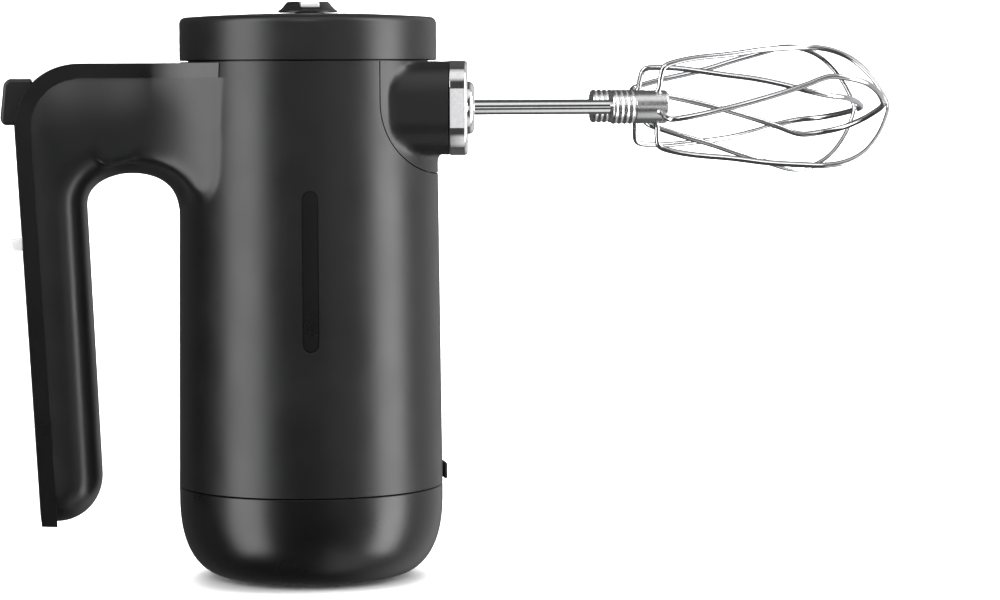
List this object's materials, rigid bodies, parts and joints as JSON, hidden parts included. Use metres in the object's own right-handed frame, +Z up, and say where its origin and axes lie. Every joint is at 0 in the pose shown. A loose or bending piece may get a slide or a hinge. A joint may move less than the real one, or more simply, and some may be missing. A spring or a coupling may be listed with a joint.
{
  "type": "cordless hand mixer",
  "caption": "Cordless hand mixer with an upright round body, a loop handle down one side and two twisted wire whisks that pull off at the other.",
  "frame": {"origin": "centre of the heel's flat underside, on the body's axis", "axes": "+Z up the body's axis, +X along the whisks away from the handle, +Y to the user's left when the handle is on top"},
  "size_m": [0.3013, 0.0894, 0.1938],
  "materials": {
    "satin_black": "satin moulded plastic, fine grain",
    "gloss_black": "glossy moulded plastic",
    "rubber_black": "soft rubber",
    "chrome": "bright plated",
    "wire_steel": "polished stainless wire",
    "silver": "satin silver",
    "steel": "bare machined steel",
    "copper": "enamelled copper winding",
    "brass": "sintered bush",
    "nylon": "natural nylon",
    "frame_grey": "glass-filled plastic",
    "cell_blue": "shrink-wrapped cell",
    "board_green": "circuit board",
    "magnet_grey": "sintered ferrite"
  },
  "bodies": {
    "housing": {"main_housing": "satin_black", "spine_cover": "gloss_black", "nose_cover": "satin_black", "collar_ring": "chrome", "collar_insert": "chrome", "top_cap": "satin_black", "top_knob": "satin_black", "knob_bar": "silver", "heel_cap": "gloss_black", "side_inlay": "gloss_black", "gear_frame": "frame_grey", "front_bush_right": "brass", "front_bush_left": "brass", "rear_bush_right": "brass", "rear_bush_left": "brass", "frame_screw_right": "steel", "frame_screw_left": "steel", "motor_can": "steel", "motor_end_cap": "frame_grey", "motor_bearing_upper": "brass", "motor_bearing_lower": "brass", "motor_magnet_1": "magnet_grey", "motor_magnet_2": "magnet_grey", "battery_cell_1": "cell_blue", "battery_cell_2": "cell_blue", "battery_cell_3": "cell_blue", "battery_holder": "frame_grey", "control_board": "board_green", "speed_board": "board_green", "charge_jack": "frame_grey", "eject_spring": "steel"},
    "rotor": {"motor_shaft": "steel", "armature": "copper", "commutator": "copper", "worm": "steel"},
    "right_drive": {"worm_wheel_right": "nylon", "spindle_right": "steel"},
    "right_push_pin": {"push_pin_right": "steel"},
    "right_whisk": {"whisk_shaft_right": "chrome", "whisk_hub_right": "chrome", "outer_loop_right": "wire_steel", "inner_loop_right": "wire_steel"},
    "left_drive": {"worm_wheel_left": "nylon", "spindle_left": "steel"},
    "left_push_pin": {"push_pin_left": "steel"},
    "left_whisk": {"whisk_shaft_left": "chrome", "whisk_hub_left": "chrome", "outer_loop_left": "wire_steel", "inner_loop_left": "wire_steel"},
    "ejector": {"eject_button": "satin_black", "eject_rod": "nylon", "eject_yoke": "nylon"},
    "slider": {"speed_slider": "silver", "slider_carriage": "nylon"},
    "port_flap": {"port_cover": "rubber_black"}
  },
  "joints": [
    {"name": "motor_spin", "type": "hinge", "parent": "housing", "child": "rotor", "pos_m": [0, 0, 0.158], "axis": [0, 0, 1], "continuous": true},
    {"name": "right_drive_spin", "type": "hinge", "parent": "housing", "child": "right_drive", "pos_m": [0, -0.018, 0.158], "axis": [1, 0, 0], "continuous": true},
    {"name": "left_drive_spin", "type": "hinge", "parent": "housing", "child": "left_drive", "pos_m": [0, 0.018, 0.158], "axis": [1, 0, 0], "continuous": true},
    {"name": "eject_press", "type": "slide", "parent": "housing", "child": "ejector", "axis": [1, 0, 0], "range_m": [0, 0.005], "stiffness_N_per_m": 400, "springref_m": -0.003, "deforming": ["eject_spring"]},
    {"name": "right_push", "type": "slide", "parent": "right_drive", "child": "right_push_pin", "axis": [1, 0, 0], "range_m": [0, 0.005]},
    {"name": "left_push", "type": "slide", "parent": "left_drive", "child": "left_push_pin", "axis": [1, 0, 0], "range_m": [0, 0.005]},
    {"name": "right_whisk_pull", "type": "slide", "parent": "right_push_pin", "child": "right_whisk", "axis": [1, 0, 0], "range_m": [0, 0.036]},
    {"name": "left_whisk_pull", "type": "slide", "parent": "left_push_pin", "child": "left_whisk", "axis": [1, 0, 0], "range_m": [0, 0.036]},
    {"name": "speed_select", "type": "slide", "parent": "housing", "child": "slider", "axis": [-0.0528, 0, 0.9986], "range_m": [0, 0.028]},
    {"name": "port_flap_open", "type": "hinge", "parent": "housing", "child": "port_flap", "pos_m": [0.0462, 0, 0.0317], "axis": [0, 1, 0], "range_deg": [0, 100]}
  ],
  "couplings": [
    {"joint": "right_drive_spin", "follows": "motor_spin", "ratio": -0.035714},
    {"joint": "left_drive_spin", "follows": "motor_spin", "ratio": 0.035714},
    {"joint": "right_push", "follows": "eject_press", "ratio": 1},
    {"joint": "left_push", "follows": "eject_press", "ratio": 1}
  ]
}
